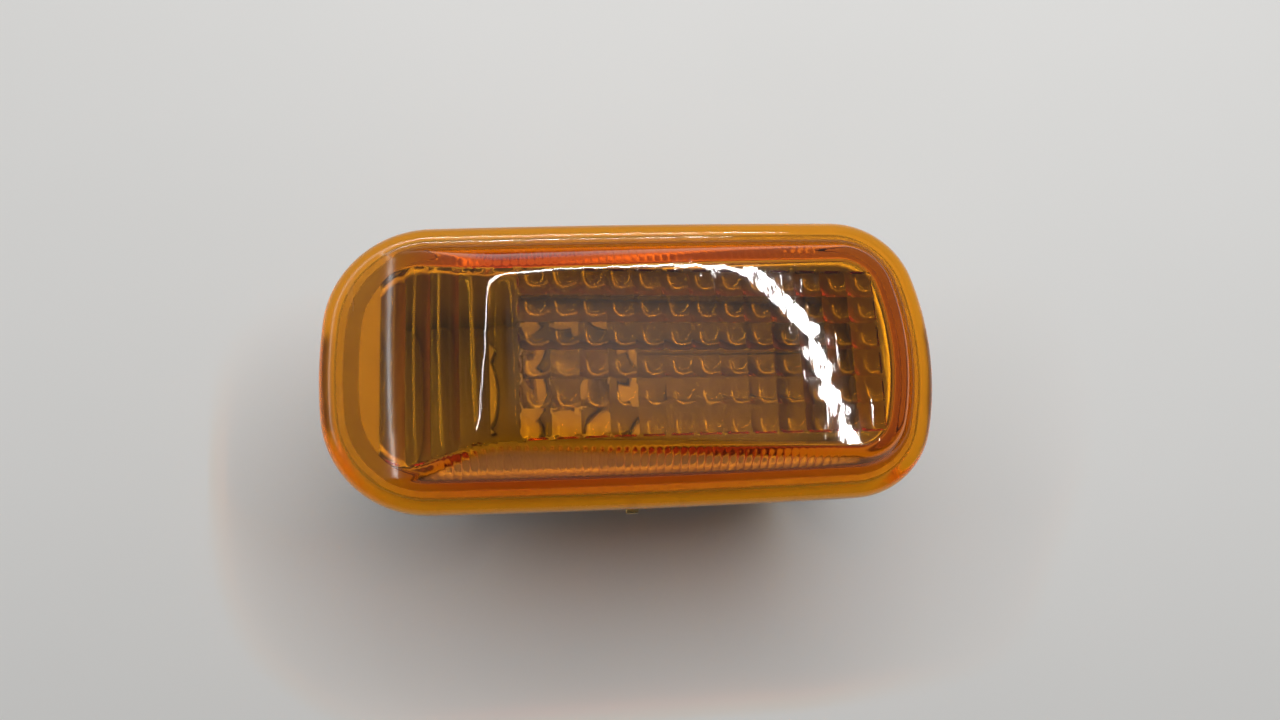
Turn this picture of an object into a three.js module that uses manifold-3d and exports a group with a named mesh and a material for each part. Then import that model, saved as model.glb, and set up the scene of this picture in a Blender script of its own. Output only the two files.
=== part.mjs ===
// Flush side turn signal lamp: an amber lens bonded to a black tub, with a wedge bulb in a
// twist-in holder, a foam gasket, a fixed hook at one end and a spring clip at the other.
// Millimetres, +Z out of the lens. Inside the lamp, z = 0 is the lower edge of the lens rim;
// the whole lamp is then lifted so that it stands on its two rear guard ribs.
import * as THREE from 'three';
import { mergeVertices } from 'three/addons/utils/BufferGeometryUtils.js';
import Module from 'manifold-3d';

const wasm = await Module();
wasm.setup();

// ---- driving dimensions ----

// Clearances.
const gap = 0.3; // between pieces that touch when the lamp is together
const runningGap = 0.4; // around pieces that turn or slide

// Outline of the lens: four arcs joined by two small and two large corners.
const lensLength = 90;
const lensWidth = 42.8;
const leftCornerRadius = 15.7;
const rightCornerRadius = 12.7;
const leftEndRadius = 73;
const rightEndRadius = 45;
const longSideRadius = 1935;

// Lens section, from the rim inwards.
const rimThickness = 2;
const rimFoot = 0.5;
const beadRadius = 2.4;
const widestHeight = 4;
const brimThickness = 2.2;
const brimWidth = 3.7;
const wallThickness = 1.9;
const outerLean = 0.62; // how far the dome wall leans in for each millimetre up
const innerLean = 0.5;
const wallFillet = 0.5;
const legThickness = 2;
const legLength = 1.6;
const shoulderSharpness = 9;

// Dome: it ramps up from the left end to a peak and then falls away to the right.
const rampFromEnd = 8;
const peakFromEnd = 27;
const peakRise = 8.6;
const fallSlope = 0.1;
const fallRounding = 6;
const crown = 0.0007;

// Moulding gate left on the lower long side of the rim.
const gateX = -1;
const gateWidth = 1.8;
const gateProud = 0.45;

// Tub.
const bondThickness = 0.6;
const bondWidth = 1.5;
const flangeThickness = 1.8;
const lipHeight = 2.2;
const lipThickness = 0.9;
const tubWall = 1.8;
const tubDraft = 2.4;
const tubDepth = 19.4; // from the top of the flange to the top of the floor
const floorThickness = 2;
const tubEdge = 0.6;

// Guard ribs and fixed hook.
const ribFromEnd = 17; // from the end of the lens
const ribThickness = 2;
const ribInset = 0.7; // from the side of the tub
const ribCorner = 3;
const webReach = 3.5;
const webDrop = 7;
const webThickness = 1.6;
const webFromEnd = 3.5;
const webFromHolder = 18;
const hookWidth = 14;
const hookReach = 5;
const hookThickness = 1.6;
const hookRelief = 0.5; // groove at the hook's root that clears the panel's burr
const panelGap = 2.2; // from the underside of the gasket to the hook

// Gasket.
const gasketThickness = 2.5;
const gasketInset = 2.8;

// Spring clip and its pin.
const pinRadius = 1;
const pinStandoff = 2.5; // from the end wall of the tub
const pinDrop = 17.9; // below the top of the flange
const clipWidth = 11;
const clipThickness = 0.6;
const clipRise = 8.9;
const clipSpread = 3.9;
const clipTipRise = 11.4;
const clipTipSpread = 2;
const earThickness = 2;

// Bulb holder.
const holderX = -9;
const neckRadius = 7.8;
const lugReach = 2.4;
const lugThickness = 1.7;
const lugAngle = 26;
const lugCount = 3;
const sealThickness = 1.2;
const sealWidth = 2.3;
const holderFlange = 1.8;
const socketWidth = 11;
const socketDepth = 9.6;
const socketLength = 6.4;
const socketWall = 1.5;
const socketWeb = 1.5;
const wedgeSlotWidth = 10.6;
const wedgeSlotDepth = 6.8;
const connectorLift = 1; // how far the connector ends above the feet of the ribs

// Bulb.
const bulbRadius = 5;
const bulbGlass = 0.6;
const bulbLength = 26.8;
const wedgeWidth = 9.5;
const wedgeThickness = 2.4;
const wedgeLength = 6.8;
const wireRadius = 0.25;
const wireSpacing = 4.8;
const filamentHeight = 13; // above the foot of the glass wedge

// Contacts.
const contactWidth = 2.2;
const contactThickness = 0.4;

// How finely the curves are cut.
const endSteps = 4;
const cornerSteps = 7;
const sideSteps = 9;
const roundSteps = 32;

// ---- heights that follow from them ----

const halfLength = lensLength / 2;
const halfWidth = lensWidth / 2;
const rampStartX = -halfLength + rampFromEnd;
const peakX = -halfLength + peakFromEnd;
const brimTop = widestHeight + beadRadius;
const brimUnder = brimTop - brimThickness;
const legInset = brimWidth + wallThickness - legThickness;
const legFoot = brimUnder - legLength;
const bondTop = legFoot - gap;
const flangeTop = bondTop - bondThickness - gap;
const flangeUnder = flangeTop - flangeThickness;
const flangeInset = rimThickness + 0.2 + runningGap;
const lipInset = legInset + legThickness + runningGap;
const tubInset = lipInset + lipThickness;
const floorTop = flangeTop - tubDepth;
const floorUnder = floorTop - floorThickness;
const gasketTop = flangeUnder - gap;
const gasketUnder = gasketTop - gasketThickness;
const lugFoot = floorTop + runningGap;
const neckTop = lugFoot + lugThickness;
const sealTop = floorUnder - gap;
const holderFlangeTop = sealTop - sealThickness - gap;
const holderFlangeUnder = holderFlangeTop - holderFlange;
const wedgeFoot = neckTop + gap - wedgeLength;
const wireFoot = wedgeFoot - 1;
const slotFloor = wireFoot - 2.1;
const socketRoof = slotFloor - socketWeb;
const connectorEnd = socketRoof - socketLength;
const ribFoot = connectorEnd - connectorLift;
const ribLength = lensLength - 2 * ribFromEnd;
const holderFlangeRadius = neckRadius + gap + sealWidth;
const ribOffset = Math.max(
  halfWidth - tubOuterInset(floorUnder) - ribInset - ribThickness / 2,
  holderFlangeRadius + runningGap + ribThickness / 2,
);
const webPlaces = [
  -ribLength / 2 + webFromEnd,
  holderX + webFromHolder,
  ribLength / 2 - webFromEnd,
];
const pinZ = flangeTop - pinDrop;
const pinX = halfLength - tubOuterInset(pinZ) + pinStandoff;

// ---- meshes ----

function closedGeometry(positions, indices) {
  let geometry = new THREE.BufferGeometry();
  geometry.setAttribute('position', new THREE.Float32BufferAttribute(positions, 3));
  geometry.setIndex(indices);
  geometry = mergeVertices(geometry, 1e-4);
  return outward(withoutSlivers(geometry));
}

function withoutSlivers(geometry) {
  const index = geometry.index.array;
  const kept = [];
  for (let i = 0; i < index.length; i += 3) {
    const [a, b, c] = [index[i], index[i + 1], index[i + 2]];
    if (a !== b && b !== c && c !== a) kept.push(a, b, c);
  }
  geometry.setIndex(kept);
  return geometry;
}

function outward(geometry) {
  const p = geometry.attributes.position;
  const index = geometry.index.array;
  const [a, b, c] = [new THREE.Vector3(), new THREE.Vector3(), new THREE.Vector3()];
  let volume = 0;
  for (let i = 0; i < index.length; i += 3) {
    a.fromBufferAttribute(p, index[i]);
    b.fromBufferAttribute(p, index[i + 1]);
    c.fromBufferAttribute(p, index[i + 2]);
    volume += a.dot(b.cross(c));
  }
  if (volume > 0) return geometry;
  const flipped = [];
  for (let i = 0; i < index.length; i += 3) flipped.push(index[i], index[i + 2], index[i + 1]);
  geometry.setIndex(flipped);
  return geometry;
}

// Joins rings of points, each with the same number, into a skin. A ring body closes on itself.
function loft(rings, ringBody = false) {
  const count = rings[0].length;
  const positions = rings.flat(2);
  const indices = [];
  const bands = ringBody ? rings.length : rings.length - 1;
  for (let r = 0; r < bands; r++) {
    const next = (r + 1) % rings.length;
    for (let i = 0; i < count; i++) {
      const j = (i + 1) % count;
      const [a, b] = [r * count + i, r * count + j];
      const [c, d] = [next * count + j, next * count + i];
      indices.push(a, b, c, a, c, d);
    }
  }
  return closedGeometry(positions, indices);
}

function solid(geometry) {
  const bare = geometry.clone();
  bare.deleteAttribute('normal');
  bare.deleteAttribute('uv');
  const merged = withoutSlivers(mergeVertices(bare, 1e-4));
  const vertProperties = new Float32Array(merged.attributes.position.array);
  const triVerts = new Uint32Array(merged.index.array);
  return new wasm.Manifold(new wasm.Mesh({ numProp: 3, vertProperties, triVerts }));
}

function fromSolid(manifold) {
  const mesh = manifold.getMesh();
  const geometry = new THREE.BufferGeometry();
  geometry.setAttribute('position', new THREE.BufferAttribute(mesh.vertProperties, 3));
  geometry.setIndex(new THREE.BufferAttribute(mesh.triVerts, 1));
  return geometry;
}

function combine(base, added, cut = []) {
  let result = solid(base);
  for (const geometry of added) result = result.add(solid(geometry));
  for (const geometry of cut) result = result.subtract(solid(geometry));
  return fromSolid(result);
}

function block(x0, x1, y0, y1, z0, z1) {
  const geometry = new THREE.BoxGeometry(x1 - x0, y1 - y0, z1 - z0);
  return geometry.translate((x0 + x1) / 2, (y0 + y1) / 2, (z0 + z1) / 2);
}

function post(radius, z0, z1, steps = roundSteps) {
  const geometry = new THREE.CylinderGeometry(radius, radius, z1 - z0, steps);
  return geometry.rotateX(Math.PI / 2).translate(0, 0, (z0 + z1) / 2);
}

// A flat profile drawn in X and Z, given a width along Y.
function profileAcross(points, width) {
  const shape = new THREE.Shape(points.map(([x, z]) => new THREE.Vector2(x, z)));
  const geometry = new THREE.ExtrudeGeometry(shape, { depth: width, bevelEnabled: false });
  return geometry.translate(0, 0, -width / 2).rotateX(Math.PI / 2);
}

// Turns a strip's centre line into a closed outline of a given thickness.
function stripOutline(line, thickness) {
  const left = [];
  const right = [];
  line.forEach((point, i) => {
    const before = line[Math.max(i - 1, 0)];
    const after = line[Math.min(i + 1, line.length - 1)];
    const span = Math.hypot(after[0] - before[0], after[1] - before[1]);
    const nx = -(after[1] - before[1]) / span * thickness / 2;
    const ny = (after[0] - before[0]) / span * thickness / 2;
    left.push([point[0] + nx, point[1] + ny]);
    right.unshift([point[0] - nx, point[1] - ny]);
  });
  return [...left, ...right];
}

// A round wire along a list of points.
function wire(points, radius, sides = 8, steps = 40) {
  const curve = new THREE.CatmullRomCurve3(points.map((p) => new THREE.Vector3(...p)));
  const section = new THREE.Shape();
  for (let i = 0; i <= sides; i++) {
    const angle = i / sides * 2 * Math.PI;
    const [x, y] = [radius * Math.cos(angle), radius * Math.sin(angle)];
    if (i === 0) section.moveTo(x, y);
    else if (i < sides) section.lineTo(x, y);
  }
  return new THREE.ExtrudeGeometry(section, { steps, extrudePath: curve, bevelEnabled: false });
}

// ---- the lamp's outline and dome ----

const sideCentreY = halfWidth - longSideRadius;

// Centre of the corner arc that is tangent to a long side and to an end.
function cornerCentre(cornerRadius, endRadius) {
  const endCentreX = halfLength - endRadius;
  const toSide = longSideRadius - cornerRadius;
  const toEnd = endRadius - cornerRadius;
  const apart = Math.hypot(endCentreX, sideCentreY);
  const along = (toSide ** 2 - toEnd ** 2 + apart ** 2) / (2 * apart);
  const off = Math.sqrt(toSide ** 2 - along ** 2);
  const [ux, uy] = [endCentreX / apart, -sideCentreY / apart];
  const [x, y] = [along * ux, sideCentreY + along * uy];
  const sign = ux > 0 ? 1 : Math.sign(uy);
  return { x: x + sign * off * uy, y: y - sign * off * ux };
}

function arc(cx, cy, radius, from, to, steps) {
  const points = [];
  for (let i = 0; i < steps; i++) {
    const angle = from + (to - from) * i / steps;
    points.push([cx + radius * Math.cos(angle), cy + radius * Math.sin(angle)]);
  }
  return points;
}

// One quarter of the outline, from the middle of an end to the middle of a long side.
function quarter(cornerRadius, endRadius, inset) {
  const centre = cornerCentre(cornerRadius, endRadius);
  const endCentreX = halfLength - endRadius;
  const endAngle = Math.atan2(centre.y, centre.x - endCentreX);
  const sideAngle = Math.atan2(centre.y - sideCentreY, centre.x);
  return [
    ...arc(endCentreX, 0, endRadius - inset, 0, endAngle, endSteps),
    ...arc(centre.x, centre.y, cornerRadius - inset, endAngle, sideAngle, cornerSteps),
    ...arc(0, sideCentreY, longSideRadius - inset, sideAngle, Math.PI / 2, sideSteps),
  ];
}

// The lens outline moved inwards, as one loop of points.
function outline(inset) {
  const right = quarter(rightCornerRadius, rightEndRadius, inset);
  const left = quarter(leftCornerRadius, leftEndRadius, inset).map(([x, y]) => [-x, y]);
  const top = [...right, [0, halfWidth - inset], ...left.slice().reverse()];
  const bottom = top.slice(1, -1).reverse().map(([x, y]) => [x, -y]);
  return [...top, ...bottom];
}

// A height is either one number or a function of the place and its depth in from the outline.
function heightAt(height, x, y, depth) {
  return typeof height === 'function' ? height(x, y, depth) : height;
}

function ring(inset, height) {
  return outline(inset).map(([x, y]) => [x, y, heightAt(height, x, y, inset)]);
}

// Rings inside a loop that shrink to a line down the middle, to close a lid or a floor.
const spineShrink = 0.8;
function towardsSpine(inset, share, height) {
  const depth = inset + share * (halfWidth - inset);
  return outline(inset).map(([x, y]) => {
    const px = x * (1 - share * (1 - spineShrink));
    const py = y * (1 - share);
    return [px, py, heightAt(height, px, py, depth)];
  });
}

function smoothStep(from, to, x) {
  const t = Math.min(Math.max((x - from) / (to - from), 0), 1);
  return t * t * (3 - 2 * t);
}

// Height of the dome's face above the brim.
function domeRise(x, y) {
  const past = x - peakX;
  const fall = fallSlope * (past + Math.hypot(past, fallRounding)) / 2;
  const rise = peakRise * smoothStep(rampStartX, peakX, x) - fall * smoothStep(rampStartX, peakX, x);
  return rise * (1 - crown * y * y);
}

// Height of the dome's wall above the brim, at a depth in from the outline.
function wallRise(depth, lean) {
  const past = depth - brimWidth;
  return (past + Math.hypot(past, wallFillet)) / 2 / lean;
}

// The lower of two heights, with a rounded shoulder where they cross.
function lowerOf(a, b) {
  if (Math.min(a, b) <= 1e-6) return 0;
  return (a ** -shoulderSharpness + b ** -shoulderSharpness) ** (-1 / shoulderSharpness);
}

const outerHeight = (x, y, depth) => brimTop + lowerOf(domeRise(x, y), wallRise(depth, outerLean));
const innerHeight = (x, y, depth) =>
  brimUnder + lowerOf(domeRise(x, y), wallRise(depth - wallThickness, innerLean));

// ---- pieces ----

function lens() {
  const deepInset = brimWidth + 5.3;
  const beadPoints = [60, 30, 0].map((degrees) => {
    const angle = degrees * Math.PI / 180;
    return [beadRadius * (1 - Math.cos(angle)), widestHeight + beadRadius * Math.sin(angle)];
  });
  const skin = loft([
    ...[1, 0.7, 0.4, 0.2].map((share) => towardsSpine(deepInset, share, outerHeight)),
    ...[5.3, 3.9, 2.6, 1.4, 0.5, 0, -0.6].map((step) => ring(brimWidth + step, outerHeight)),
    ring(beadRadius, brimTop),
    ...beadPoints.map(([inset, z]) => ring(inset, z)),
    ring(0.15, rimFoot),
    ring(rimFoot, 0),
    ring(rimThickness, 0),
    ring(rimThickness + 0.2, brimUnder),
    ring(legInset, brimUnder),
    ring(legInset, legFoot),
    ring(legInset + legThickness, legFoot),
    ...[0, 0.5, 1.3, 2.9].map((step) => ring(legInset + legThickness + step, innerHeight)),
    ...[0.2, 0.4, 0.7, 1].map((share) => towardsSpine(deepInset, share, innerHeight)),
  ]);
  const gateY = -(halfWidth - 0.6);
  const gate = block(gateX - gateWidth / 2, gateX + gateWidth / 2,
    -(halfWidth + gateProud), gateY, rimFoot, rimFoot + gateWidth);
  return combine(skin, [gate]);
}

function lensSealant() {
  const inner = legInset + (legThickness - bondWidth) / 2;
  const outer = inner + bondWidth;
  const foot = bondTop - bondThickness;
  return loft([ring(inner, bondTop), ring(inner, foot), ring(outer, foot), ring(outer, bondTop)], true);
}

// Depth in from the outline of the tub's outer face, at a height.
function tubOuterInset(z) {
  return tubInset - tubWall + tubDraft * (flangeUnder - z) / (flangeUnder - floorUnder);
}

function keyhole(extra) {
  const bore = post(neckRadius + extra, floorUnder - 1, floorTop + 1);
  const reach = neckRadius + lugReach + extra;
  const notches = [];
  for (let i = 0; i < lugCount; i++) {
    const half = lugAngle / 2 + extra / reach * 180 / Math.PI;
    notches.push(sector(reach, i * 360 / lugCount - half, i * 360 / lugCount + half,
      floorUnder - 1, floorTop + 1));
  }
  return combine(bore, notches);
}

// A slice of a round disc between two angles in degrees.
function sector(radius, fromDegrees, toDegrees, z0, z1) {
  const steps = 6;
  const shape = new THREE.Shape([new THREE.Vector2(0, 0)]);
  for (let i = 0; i <= steps; i++) {
    const angle = (fromDegrees + (toDegrees - fromDegrees) * i / steps) * Math.PI / 180;
    shape.lineTo(radius * Math.cos(angle), radius * Math.sin(angle));
  }
  return new THREE.ExtrudeGeometry(shape, { depth: z1 - z0, bevelEnabled: false }).translate(0, 0, z0);
}

// A plate under the floor, with its lower corners rounded.
function guardRib() {
  const half = ribLength / 2;
  const root = floorUnder + 0.5;
  const cornerZ = ribFoot + ribCorner;
  const shape = new THREE.Shape();
  shape.moveTo(-half, root);
  shape.lineTo(-half, cornerZ);
  shape.absarc(-half + ribCorner, cornerZ, ribCorner, Math.PI, 1.5 * Math.PI);
  shape.absarc(half - ribCorner, cornerZ, ribCorner, 1.5 * Math.PI, 2 * Math.PI);
  shape.lineTo(half, root);
  const options = { depth: ribThickness, bevelEnabled: false, curveSegments: 6 };
  return new THREE.ExtrudeGeometry(shape, options).translate(0, 0, -ribThickness / 2)
    .rotateX(Math.PI / 2);
}

// A triangular web in the corner between the floor and a guard rib.
function ribWeb() {
  const root = floorUnder + 0.5;
  const face = ribOffset - ribThickness / 2;
  const profile = [
    [face + 0.5, root],
    [face + 0.5, floorUnder - webDrop],
    [face, floorUnder - webDrop],
    [face - webReach, floorUnder],
    [face - webReach, root],
  ];
  return profileAcross(profile, webThickness).rotateZ(Math.PI / 2);
}

function housing() {
  const floorInset = tubInset + tubDraft;
  const shell = loft([
    ...[1, 0.5].map((share) => towardsSpine(tubOuterInset(floorUnder) + tubEdge, share, floorUnder)),
    ring(tubOuterInset(floorUnder) + tubEdge, floorUnder),
    ring(tubOuterInset(floorUnder + tubEdge), floorUnder + tubEdge),
    ring(tubOuterInset(flangeUnder), flangeUnder),
    ring(flangeInset, flangeUnder),
    ring(flangeInset, flangeTop),
    ring(lipInset, flangeTop),
    ring(lipInset, flangeTop + lipHeight),
    ring(tubInset, flangeTop + lipHeight),
    ring(floorInset - 0.4, floorTop + 0.6),
    ring(floorInset, floorTop),
    ...[0.5, 1].map((share) => towardsSpine(floorInset, share, floorTop)),
  ]);
  const ribs = [-1, 1].map((side) => guardRib().translate(0, side * ribOffset, 0));
  const webs = webPlaces.flatMap((x) => [0, Math.PI].map((turn) =>
    ribWeb().translate(turn ? -x : x, 0, 0).rotateZ(turn)));
  const hookTop = gasketUnder - panelGap;
  const wallFace = -(halfLength - tubOuterInset(hookTop));
  const hookRoot = wallFace + 0.8;
  const hookTip = wallFace - hookReach;
  const hook = profileAcross([
    [hookRoot, hookTop - hookRelief],
    [wallFace - hookRelief, hookTop - hookRelief],
    [wallFace - hookRelief, hookTop],
    [hookTip + 0.4, hookTop],
    [hookTip, hookTop - 0.5],
    [hookTip, hookTop - hookThickness],
    [hookRoot + 0.2, hookTop - hookReach - hookThickness],
  ], hookWidth);
  const earReach = pinRadius + gap + 1;
  const earY = clipWidth / 2 + runningGap;
  const earRoot = halfLength - tubOuterInset(pinZ) - 0.9;
  const ears = [-1, 1].map((side) => block(earRoot, pinX + earReach,
    Math.min(side * earY, side * (earY + earThickness)),
    Math.max(side * earY, side * (earY + earThickness)),
    pinZ - earReach, pinZ + earReach));
  const pinHole = post(pinRadius + gap, -clipWidth * 2, clipWidth * 2, 24)
    .rotateX(Math.PI / 2).translate(pinX, 0, pinZ);
  const bore = keyhole(runningGap).translate(holderX, 0, 0);
  return combine(shell, [...ribs, ...webs, hook, ...ears], [bore, pinHole]);
}

function bodyGasket() {
  const outer = gasketInset;
  const inner = tubInset - tubWall - gap;
  const top = ring(outer, gasketTop);
  return loft([top, ring(outer, gasketUnder), ring(inner, gasketUnder), ring(inner, gasketTop)], true);
}

// Drawn about the pin: a curl that wraps it, a leg that spreads outwards and a tip that turns in.
function springClip() {
  const curlRadius = pinRadius + gap + clipThickness / 2;
  const curl = [];
  for (let degrees = 120; degrees <= 360; degrees += 24) {
    const angle = degrees * Math.PI / 180;
    curl.push([curlRadius * Math.cos(angle), curlRadius * Math.sin(angle)]);
  }
  const knee = [
    [clipSpread - 0.2, clipRise - 1],
    [clipSpread, clipRise],
    [clipSpread - 0.3, clipRise + 0.9],
  ];
  const tip = [clipTipSpread, clipTipRise];
  return profileAcross(stripOutline([...curl, ...knee, tip], clipThickness), clipWidth);
}

function clipPin() {
  const length = clipWidth + 2 * (runningGap + earThickness) + 1;
  return post(pinRadius, -length / 2, length / 2, 24).rotateX(Math.PI / 2);
}

function bulbHolder() {
  const neck = post(neckRadius, holderFlangeTop - 0.5, neckTop);
  const lugs = [];
  for (let i = 0; i < lugCount; i++) {
    const from = i * 360 / lugCount - lugAngle / 2;
    lugs.push(sector(neckRadius + lugReach, from, from + lugAngle, lugFoot, neckTop));
  }
  const flange = post(holderFlangeRadius, holderFlangeUnder, holderFlangeTop);
  const outerX = socketWidth / 2 + socketWall;
  const outerY = socketDepth / 2 + socketWall;
  const shroud = block(-outerX, outerX, -outerY, outerY, connectorEnd, holderFlangeUnder + 0.5);
  const latch = block(-2.2, 2.2, outerY - 0.5, outerY + 1, connectorEnd + 1.5, connectorEnd + 3.5);
  const wedgeSlot = block(-wedgeSlotWidth / 2, wedgeSlotWidth / 2,
    -wedgeSlotDepth / 2, wedgeSlotDepth / 2, slotFloor, neckTop + 1);
  const socket = block(-socketWidth / 2, socketWidth / 2,
    -socketDepth / 2, socketDepth / 2, connectorEnd - 1, socketRoof);
  const contactSlots = [-1, 1].map((side) => block(
    side * wireSpacing / 2 - contactWidth / 2 - gap, side * wireSpacing / 2 + contactWidth / 2 + gap,
    -contactThickness / 2 - gap, contactThickness / 2 + gap, socketRoof - 1, slotFloor + 1));
  return combine(neck, [...lugs, flange, shroud, latch], [wedgeSlot, socket, ...contactSlots]);
}

function holderSeal() {
  const inner = neckRadius + gap;
  const outer = holderFlangeRadius;
  const foot = sealTop - sealThickness;
  const profile = [[inner, foot], [outer, foot], [outer, sealTop], [inner, sealTop], [inner, foot]];
  return lathe(profile);
}

function lathe(profile, steps = roundSteps) {
  const points = profile.map(([r, z]) => new THREE.Vector2(r, z));
  const geometry = new THREE.LatheGeometry(points, steps).rotateX(Math.PI / 2);
  geometry.deleteAttribute('normal');
  geometry.deleteAttribute('uv');
  return outward(withoutSlivers(mergeVertices(geometry, 1e-4)));
}

function dome(radius, centreZ, steps) {
  const points = [];
  for (let i = 1; i < steps; i++) {
    const angle = i / steps * Math.PI / 2;
    points.push([radius * Math.cos(angle), centreZ + radius * Math.sin(angle)]);
  }
  return points;
}

function bulbGlassEnvelope() {
  const shoulderZ = wedgeFoot + wedgeLength;
  const top = wedgeFoot + bulbLength;
  const inside = bulbRadius - bulbGlass;
  const outside = lathe([
    [0, shoulderZ - 0.8], [2.6, shoulderZ - 0.8], [3.6, shoulderZ + 0.6], [bulbRadius, shoulderZ + 3],
    [bulbRadius, top - bulbRadius], ...dome(bulbRadius, top - bulbRadius, 6), [0, top],
  ], 24);
  const hollow = lathe([
    [0, shoulderZ + 1.6], [2.4, shoulderZ + 1.8], [inside, shoulderZ + 3.8],
    [inside, top - bulbRadius], ...dome(inside, top - bulbRadius, 6), [0, top - bulbGlass],
  ], 24);
  const wedge = block(-wedgeWidth / 2, wedgeWidth / 2,
    -wedgeThickness / 2, wedgeThickness / 2, wedgeFoot, shoulderZ + 0.4);
  const channels = [-1, 1].map((side) => post(wireRadius + gap, wedgeFoot - 1, shoulderZ + 4, 12)
    .translate(side * wireSpacing / 2, 0, 0));
  return combine(outside, [wedge], [hollow, ...channels]);
}

// A lead comes down through the glass, turns under the wedge and lies up its face.
function bulbLead() {
  const faceY = wedgeThickness / 2 + gap + wireRadius;
  const turn = faceY / 2;
  const x = wireSpacing / 2;
  const filamentZ = wedgeFoot + filamentHeight;
  const under = [];
  for (let i = 0; i <= 6; i++) {
    const angle = i / 6 * Math.PI;
    under.push([x, turn - turn * Math.cos(angle), wedgeFoot - 0.1 - 0.65 * Math.sin(angle)]);
  }
  return wire([
    [x, 0, filamentZ],
    [x, 0, filamentZ - 4],
    [x, 0, wedgeFoot + 2],
    ...under,
    [x, faceY, wedgeFoot + 2],
    [x, faceY, wedgeFoot + 4.4],
  ], wireRadius);
}

function bulbFilament() {
  const z = wedgeFoot + filamentHeight;
  const reach = wireSpacing / 2 - wireRadius - gap;
  const turns = 8;
  const coilRadius = 0.5;
  const points = [];
  for (let i = 0; i <= turns * 8; i++) {
    const angle = i / 8 * 2 * Math.PI;
    const x = -reach + 2 * reach * i / (turns * 8);
    points.push([x, coilRadius * Math.cos(angle), z + coilRadius * Math.sin(angle)]);
  }
  return wire(points, 0.09, 5, turns * 10);
}

// A stamped strip that presses on a lead above and is a connector blade below.
function contact() {
  const springY = wedgeThickness / 2 + gap + 2 * wireRadius + gap + contactThickness / 2;
  const line = [
    [springY + 0.35, wedgeFoot + 4.6],
    [springY, wedgeFoot + 3.2],
    [springY, wireFoot - 0.3],
    [springY - 0.6, wireFoot - 0.9],
    [0.5, wireFoot - 1.1],
    [0, wireFoot - 1.6],
    [0, connectorEnd + 1.2],
  ];
  return profileAcross(stripOutline(line, contactThickness), contactWidth).rotateZ(Math.PI / 2);
}

// ---- materials ----

const materials = {
  amberPlastic: [0xd9780f, 0.12, 0],
  sealant: [0x2b2622, 0.7, 0],
  blackPlastic: [0x1d1c1b, 0.5, 0],
  foam: [0x26262a, 0.95, 0],
  springSteel: [0xa9abac, 0.35, 0.9],
  holderPlastic: [0x34312c, 0.55, 0],
  rubber: [0x171717, 0.8, 0],
  clearGlass: [0xeef2f2, 0.05, 0],
  leadWire: [0xb9b6ae, 0.35, 0.9],
  tungsten: [0x6f7073, 0.5, 0.8],
  brass: [0xb99a52, 0.35, 0.9],
};

function piece(name, geometry, finish) {
  const [color, roughness, metalness] = materials[finish];
  const mesh = new THREE.Mesh(geometry, new THREE.MeshStandardMaterial({ color, roughness, metalness }));
  mesh.name = name;
  return mesh;
}

// ---- the lamp ----

const lamp = new THREE.Group();
lamp.name = 'side_turn_signal_lamp';
lamp.position.z = -ribFoot;

lamp.add(piece('lens', lens(), 'amberPlastic'));
lamp.add(piece('lens_sealant', lensSealant(), 'sealant'));
lamp.add(piece('housing', housing(), 'blackPlastic'));
lamp.add(piece('body_gasket', bodyGasket(), 'foam'));

const clipEnd = new THREE.Group();
clipEnd.position.set(pinX, 0, pinZ);
clipEnd.add(piece('spring_clip', springClip(), 'springSteel'));
clipEnd.add(piece('clip_pin', clipPin(), 'springSteel'));
lamp.add(clipEnd);

const holderEnd = new THREE.Group();
holderEnd.position.x = holderX;
holderEnd.add(piece('holder_seal', holderSeal(), 'rubber'));
holderEnd.add(piece('bulb_holder', bulbHolder(), 'holderPlastic'));
holderEnd.add(piece('bulb_glass', bulbGlassEnvelope(), 'clearGlass'));
holderEnd.add(piece('bulb_filament', bulbFilament(), 'tungsten'));
for (const [side, turn] of [['right', 0], ['left', Math.PI]]) {
  const half = new THREE.Group();
  half.rotation.z = turn;
  half.add(piece(`bulb_lead_${side}`, bulbLead(), 'leadWire'));
  const strip = piece(`contact_${side}`, contact(), 'brass');
  strip.position.x = wireSpacing / 2;
  half.add(strip);
  holderEnd.add(half);
}
lamp.add(holderEnd);

export default lamp;
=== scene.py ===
# A flush side turn signal lamp standing lens up on a pale floor: the camera comes first, then one
# section for each piece in the order the lamp is put together, and the floor and lights last.
import math

import bmesh
import bpy
import numpy as np
from mathutils import Matrix, Vector


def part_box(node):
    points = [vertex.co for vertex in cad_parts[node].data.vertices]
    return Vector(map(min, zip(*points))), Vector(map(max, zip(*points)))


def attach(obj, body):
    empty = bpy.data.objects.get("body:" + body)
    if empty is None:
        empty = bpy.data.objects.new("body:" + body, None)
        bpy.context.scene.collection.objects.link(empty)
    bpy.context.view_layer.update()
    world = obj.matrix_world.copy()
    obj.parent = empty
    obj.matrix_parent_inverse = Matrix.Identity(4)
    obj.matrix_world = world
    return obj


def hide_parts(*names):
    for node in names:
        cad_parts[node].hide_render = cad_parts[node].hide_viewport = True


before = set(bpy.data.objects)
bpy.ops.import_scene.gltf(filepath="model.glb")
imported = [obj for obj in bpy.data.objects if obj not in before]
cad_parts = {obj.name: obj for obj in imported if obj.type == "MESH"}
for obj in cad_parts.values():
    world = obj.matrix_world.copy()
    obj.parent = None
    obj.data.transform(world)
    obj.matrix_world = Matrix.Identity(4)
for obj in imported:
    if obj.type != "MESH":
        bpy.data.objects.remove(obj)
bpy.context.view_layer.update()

# ---- Camera ----
# It looks almost straight down on the lens from a hand's width away, swung and tipped a few
# degrees, as someone photographing a small part on a table would hold it.
camera_data = bpy.data.cameras.new("camera")
camera_data.lens = 28.1
camera_data.sensor_width = 36
camera_data.clip_start = 0.005
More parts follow.
